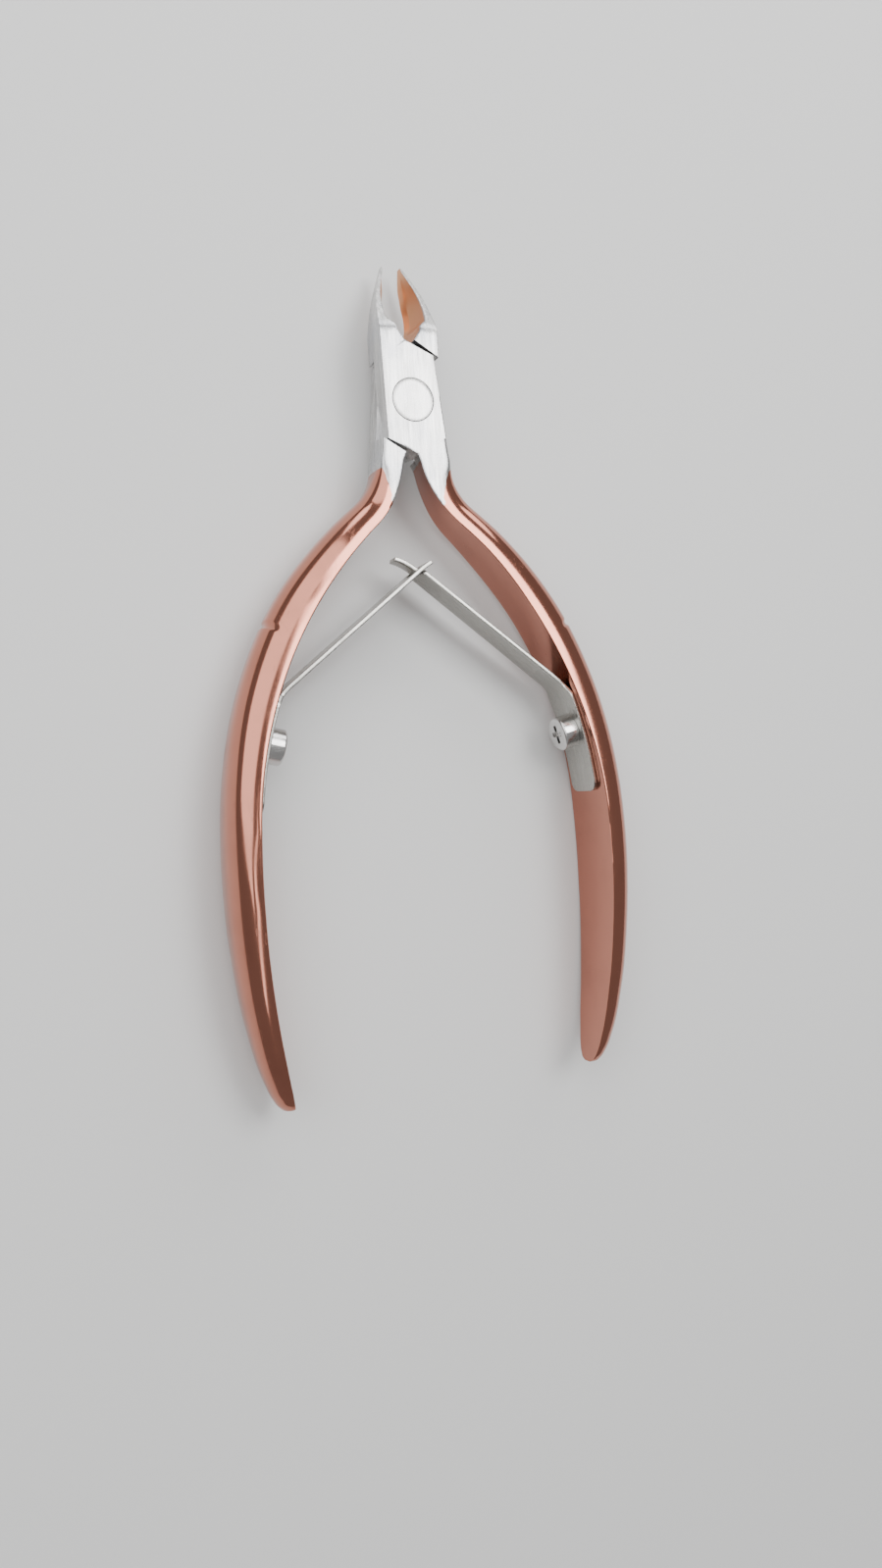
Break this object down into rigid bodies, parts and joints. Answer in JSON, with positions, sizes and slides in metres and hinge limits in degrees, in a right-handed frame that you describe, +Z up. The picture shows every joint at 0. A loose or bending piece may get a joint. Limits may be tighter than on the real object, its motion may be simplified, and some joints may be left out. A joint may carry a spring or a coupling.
{
  "type": "cuticle nipper",
  "caption": "Hand cuticle nipper with a lap joint on a flush rivet, hollow-ground jaws, curved plated handles and crossed leaf springs.",
  "frame": {"origin": "middle of the underside of the whole tool lying flat, at its rest opening", "axes": "+Z up along the pivot axis, +Y from the handles towards the jaws, +X to the right seen from above"},
  "size_m": [0.0508, 0.0996, 0.0095],
  "materials": {
    "rose_plating": "mirror-polished rose gold plating, bare satin steel on the head and jaws",
    "rivet_steel": "ground flush and satin",
    "spring_steel": "bright rolled strip",
    "screw_steel": "turned, polished"
  },
  "bodies": {
    "back_body": {"back_half": "rose_plating", "pivot_rivet": "rivet_steel", "left_spring_foot": "spring_steel", "left_spring_screw": "screw_steel"},
    "front_body": {"front_half": "rose_plating", "right_spring_foot": "spring_steel", "right_spring_screw": "screw_steel"},
    "left_arm_body": {"left_spring_arm": "spring_steel"},
    "right_arm_body": {"right_spring_arm": "spring_steel"}
  },
  "joints": [
    {"name": "pivot", "type": "hinge", "parent": "back_body", "child": "front_body", "pos_m": [0, 0.03211, 0.00475], "axis": [0, 0, 1], "range_deg": [-7.2, 3], "stiffness_Nm_per_rad": 0.6},
    {"name": "left_spring_bend", "type": "hinge", "parent": "back_body", "child": "left_arm_body", "pos_m": [-0.01828, -0.00248, 0.00475], "axis": [0, 0, 1], "range_deg": [-2.2, 4.8]},
    {"name": "right_spring_bend", "type": "hinge", "parent": "front_body", "child": "right_arm_body", "pos_m": [0.01828, -0.00248, 0.00475], "axis": [0, 0, 1], "range_deg": [-4.8, 2.2]}
  ],
  "couplings": [
    {"joint": "left_spring_bend", "follows": "pivot", "ratio": -0.611},
    {"joint": "right_spring_bend", "follows": "pivot", "ratio": 0.611}
  ]
}
